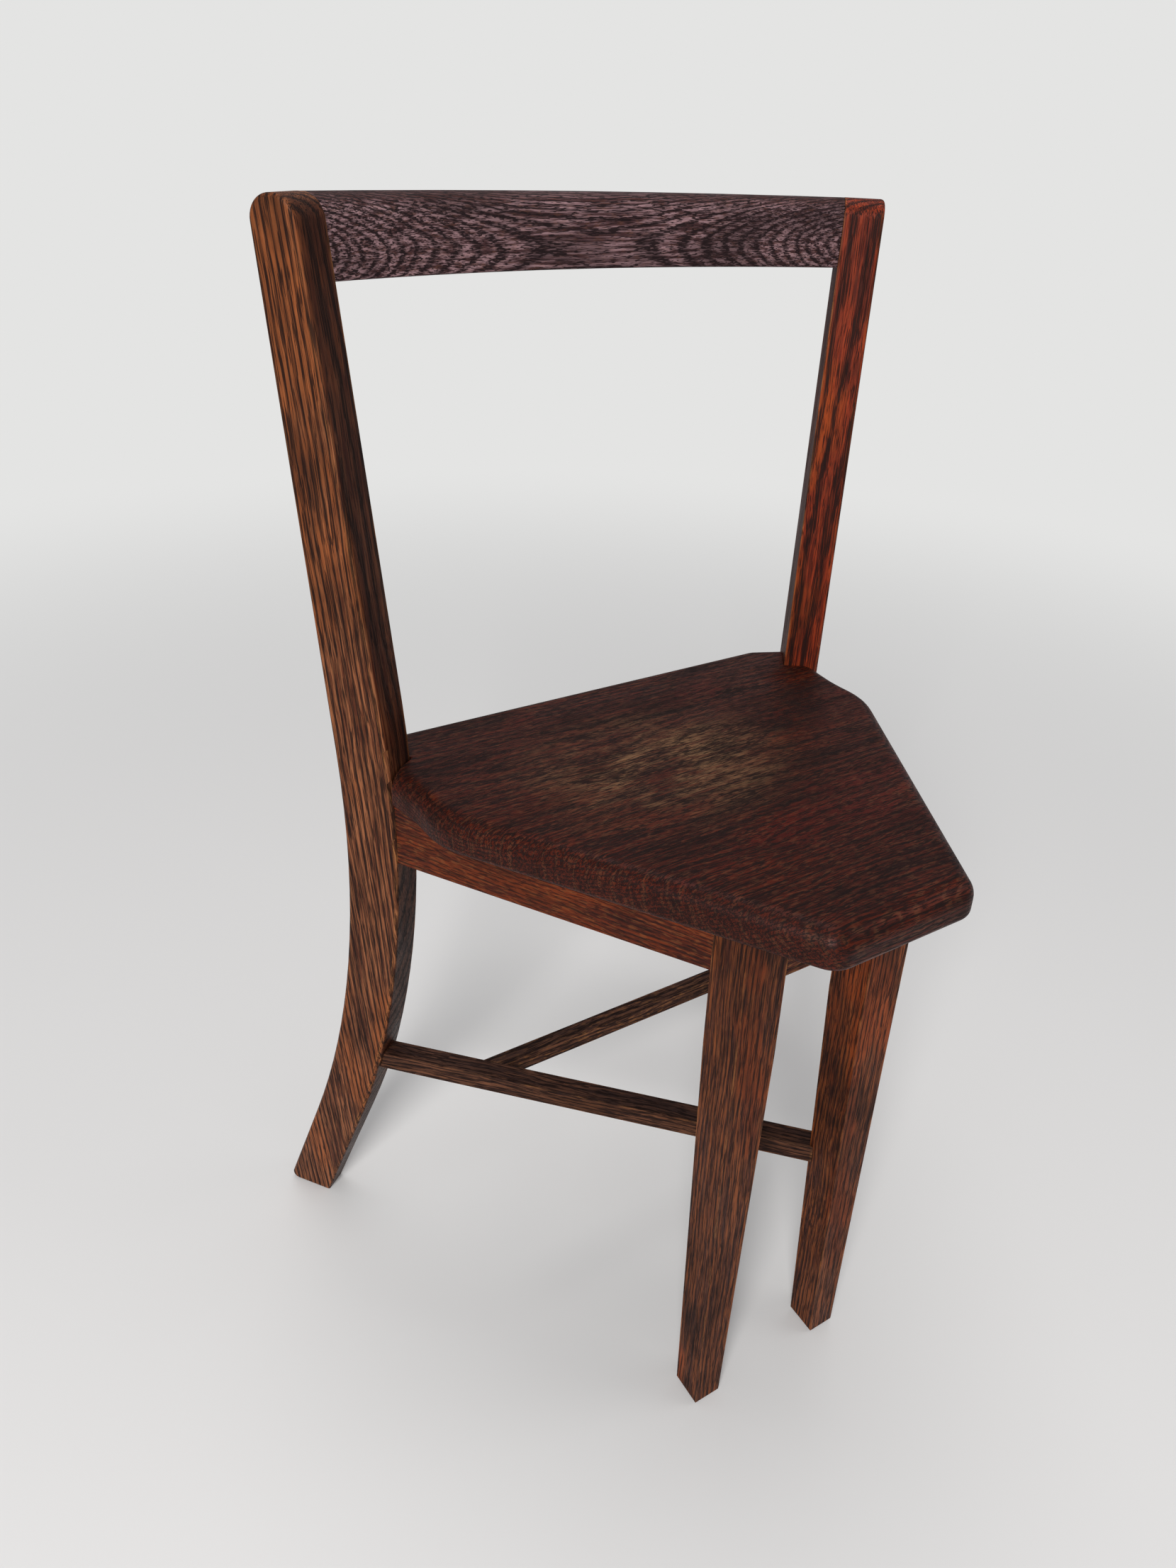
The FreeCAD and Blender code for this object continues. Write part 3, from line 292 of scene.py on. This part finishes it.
def tinted_face(direction, shade, share):
    """A colour mixed unevenly into the faces that point one way; on the back posts this is painted
    shade.
    """
    def change(tree, place, colour):
        facing = add(tree, "VectorMath", add(tree, "NewGeometry", out="Normal"),
                     Vector(direction).normalized(), operation="DOT_PRODUCT", out="Value")
        facing = add(tree, "MapRange", facing, 0.45, 0.85, 0.0, share, **SMOOTH)
        uneven = clouds(tree, place, (55.0, 20.0, 20.0), detail=4.0)
        uneven = add(tree, "MapRange", uneven, 0.3, 0.6, 0.7, 1.0, **SMOOTH)
        amount = add(tree, "Math", facing, uneven, operation="MULTIPLY")
        return add(tree, "Mix", amount, named={6: colour, 7: linear(shade)}, **COLOURS)
    return change


def dress(node, cut, extra=None, arris=0.9):
    piece = rebuilt(node, arris)
    piece.data.materials.append(oak("waxed_oak_" + node, cut, extra))
    return piece


X_AXIS, Y_AXIS, Z_AXIS = (1.0, 0.0, 0.0), (0.0, 1.0, 0.0), (0.0, 0.0, 1.0)
POST_SHADES = {"left": ("#4C2413", "#8A5435", "#8F4E28"), "right": ("#5A1A0B", "#8A3014", "#8E3A10")}
splay = math.radians(POST_SPLAY)
for side, word in ((-1, "left"), (1, "right")):
    back = Vector((side * math.sin(splay), math.cos(splay), 0.0))
    inward = Vector((-side * math.cos(splay), math.sin(splay), 0.0))
    lean = math.radians(POST_LEAN)
    grain = Vector((0.0, 0.0, math.cos(lean))) + back * math.sin(lean)
    base, light, patch = POST_SHADES[word]
    # Painted shade: the left post's front face and the right post's inner face, which the key light
    # from the left front misses, are darkened in their colour.
    shadow_face = -back if word == "left" else inward
    dress(f"{word}_back_post", Cut(
        grain, back, middle(f"{word}_back_post"), heart=(110.0, 18.0 * side), pitch=4.4,
        base=base, light=light, patch=patch, patch_share=0.45, ring=0.55, pore=0.85,
        wear=0.9, gloss=0.44, wander=0.5, seed=140.0 * side, hatch=0.05,
        pore_long=24.0, pore_wide=0.6),
        extra=tinted_face(shadow_face, "#2C0F0B", 0.72), arris=1.2)
    dress(f"{word}_front_leg", Cut(
        (0.0, math.sin(math.radians(2.2)), 1.0), Y_AXIS, middle(f"{word}_front_leg"),
        heart=(90.0, 60.0), pitch=2.8, base="#3C1506", light="#743A16", patch="#86390E",
        patch_share=0.4, ring=0.3, wear=0.7, gloss=0.48, wander=0.6, seed=90.0 * side,
        hatch=0.06, pore_long=20.0, pore_wide=0.7),
        arris=1.1)
    heading = math.radians(APRON_HEADING)
    along = Vector((side * math.sin(heading), math.cos(heading), 0.0))
    dress(f"{word}_side_apron", Cut(
        along, Z_AXIS, middle(f"{word}_side_apron"), heart=(80.0, 70.0), pitch=2.6,
        base="#360E04", light="#5C220A", patch="#702C08", patch_share=0.5, ring=0.15,
        pore=0.7, wear=0.3, gloss=0.42, seed=60.0 * side, hatch=0.12, pore_long=8.0,
        pore_wide=0.7))
    heading = math.radians(DIAGONAL_HEADING)
    along = Vector((side * math.sin(heading), math.cos(heading), 0.0))
    dress(f"{word}_diagonal_stretcher", Cut(
        along, Z_AXIS, middle(f"{word}_diagonal_stretcher"), heart=(50.0, 60.0), pitch=2.6,
        base="#2C1610", light="#67402C", patch="#6A3F26", patch_share=0.3, ring=0.3,
        wear=0.6, gloss=0.56, seed=30.0 * side, hatch=0.05),
        extra=tinted_face(Z_AXIS, "#3A2A26", 0.5))

dress("cross_stretcher", Cut(X_AXIS, Z_AXIS, middle("cross_stretcher"), base="#2C1610",
                             light="#67402C", patch_share=0.2, gloss=0.56, seed=11.0),
      extra=tinted_face(Z_AXIS, "#3A2A26", 0.5))
dress("crest_rail", Cut(X_AXIS, Z_AXIS, middle("crest_rail"), heart=(6.0, -40.0), pitch=2.2,
                        base="#3C2526", light="#8E6F72", dark="#190C0E", patch="#56312C",
                        patch_share=0.1, pore=0.95, ring=0.5, wear=0.2, worn="#8C5A35",
                        gloss=0.36, wander=0.5, seed=25.0, hatch=0.1, pore_long=6.0,
                        pore_wide=0.62),
      extra=tinted_face(Z_AXIS, "#3A160E", 0.75))
for node in ("seat_rear_board", "seat_front_board"):
    dress(node, Cut(X_AXIS, Y_AXIS, middle("seat_rear_board"), heart=(30.0, -260.0), pitch=2.6,
                    base="#240602", light="#4A1809", patch="#4A1006", patch_share=0.3,
                    pore=0.85, ring=0.1, wear=0.3, worn="#7A5236", gloss=0.4, seed=5.0,
                    hatch=0.16, pore_long=7.0, pore_wide=0.72), extra=wear_seat)
for node in ("front_apron", "back_apron"):
    dress(node, Cut(X_AXIS, Z_AXIS, middle(node), base="#2C0E06", light="#5A2610",
                    patch_share=0.4, ring=0.2, wear=0.3, gloss=0.5, seed=17.0))
for place_name in ("rear", "front"):
    for word in ("left", "right"):
        node = f"{place_name}_{word}_corner_block"
        dress(node, Cut(X_AXIS, Y_AXIS, middle(node), base="#5A3A26", light="#7E5638",
                        patch_share=0.2, ring=0.3, wear=0.4, gloss=0.62, seed=3.0))


def plain(name, colour, roughness, metallic=0.0):
    """Beech or steel seen only at the joints: a fine streak in its colour."""
    material = bpy.data.materials.new(name)
    tree = empty_tree(material)
    place = add(tree, "Mapping", add(tree, "TexCoord", out="Object"),
                named={"Scale": [1 / MM] * 3})
    streak = clouds(tree, place, (1.2, 1.2, 8.0), detail=3.0)
    streak = add(tree, "MapRange", streak, 0.35, 0.65, 0.0, 1.0, **SMOOTH)
    darker = [0.6 * part for part in linear(colour)[:3]] + [1.0]
    tint = add(tree, "Mix", streak, named={6: linear(colour), 7: darker}, **COLOURS)
    shader = add(tree, "BsdfPrincipled", tint,
                 named={"Roughness": roughness, "Metallic": metallic})
    add(tree, "OutputMaterial", shader)
    return material


dowel_beech = plain("turned_beech_dowel", "#C9A57A", 0.6)
screw_steel = plain("plain_steel_screw", "#8A8580", 0.42, metallic=1.0)
for node, material in (("crest_rail_dowels", dowel_beech), ("seat_joint_dowels", dowel_beech),
                       ("corner_block_screws", screw_steel), ("seat_screws", screw_steel)):
    data = nodes[node].data
    data.materials.clear()
    data.materials.append(material)


# Floor, lights and camera

BACKGROUND = "#E4E4E3"


def floor():
    """Plain pale floor, which fades into the background well away from the chair."""
    mesh = bmesh.new()
    bmesh.ops.create_grid(mesh, x_segments=1, y_segments=1, size=30.0)
    data = bpy.data.meshes.new("floor")
    mesh.to_mesh(data)
    mesh.free()
    material = bpy.data.materials.new("matt_pale_floor")
    tree = empty_tree(material)
    matt = add(tree, "BsdfDiffuse", linear("#DEDCDA"))
    away = add(tree, "VectorMath", add(tree, "TexCoord", out="Object"), operation="LENGTH",
               out="Value")
    far = add(tree, "Math", add(tree, "MapRange", away, 0.6, 2.4, 0.0, 1.0, **SMOOTH),
              add(tree, "LightPath", out="Is Camera Ray"), operation="MULTIPLY")
    glow = add(tree, "Emission", linear(BACKGROUND), 1.0)
    add(tree, "OutputMaterial", add(tree, "MixShader", far, matt, glow))
    data.materials.append(material)
    piece = bpy.data.objects.new("floor", data)
    bpy.context.scene.collection.objects.link(piece)


def lamp(name, place, aim, size, power, tint="#FFFFFF"):
    data = bpy.data.lights.new(name, "AREA")
    data.shape = "DISK"
    data.size = size
    data.energy = power
    data.color = linear(tint)[:3]
    piece = bpy.data.objects.new(name, data)
    piece.location = place
    piece.rotation_euler = (Vector(aim) - Vector(place)).to_track_quat("-Z", "Y").to_euler()
    bpy.context.scene.collection.objects.link(piece)


def sky():
    world = bpy.data.worlds.new("studio")
    bpy.context.scene.world = world
    tree = empty_tree(world)
    seen = add(tree, "Math", add(tree, "LightPath", out="Is Camera Ray"),
               add(tree, "LightPath", out="Is Transmission Ray"), operation="MAXIMUM")
    fill = add(tree, "Background", linear("#F2F5FA"), 0.36)
    shown = add(tree, "Background", linear(BACKGROUND), 1.0)
    add(tree, "OutputWorld", add(tree, "MixShader", seen, fill, shown))


floor()
sky()
lamp("key", (-2.3, -2.1, 2.3), (0.0, 0.0, 0.45), 1.3, 112.0)
lamp("fill", (2.4, -1.6, 2.2), (0.0, 0.0, 0.45), 2.0, 14.0)
lamp("top", (0.2, 0.6, 3.0), (0.0, 0.0, 0.4), 1.8, 22.0)

camera_data = bpy.data.cameras.new("camera")
camera_data.lens = CAMERA_LENS
camera_data.sensor_width = 36.0
camera_data.clip_start = 0.05
camera = bpy.data.objects.new("camera", camera_data)
bpy.context.scene.collection.objects.link(camera)
back_axis = CAMERA_RIGHT.cross(CAMERA_UP)
camera.matrix_world = Matrix.Translation(CAMERA_PLACE) @ Matrix(
    (CAMERA_RIGHT, CAMERA_UP, back_axis)).transposed().to_4x4()
bpy.context.scene.camera = camera
bpy.context.scene.view_settings.view_transform = "Standard"
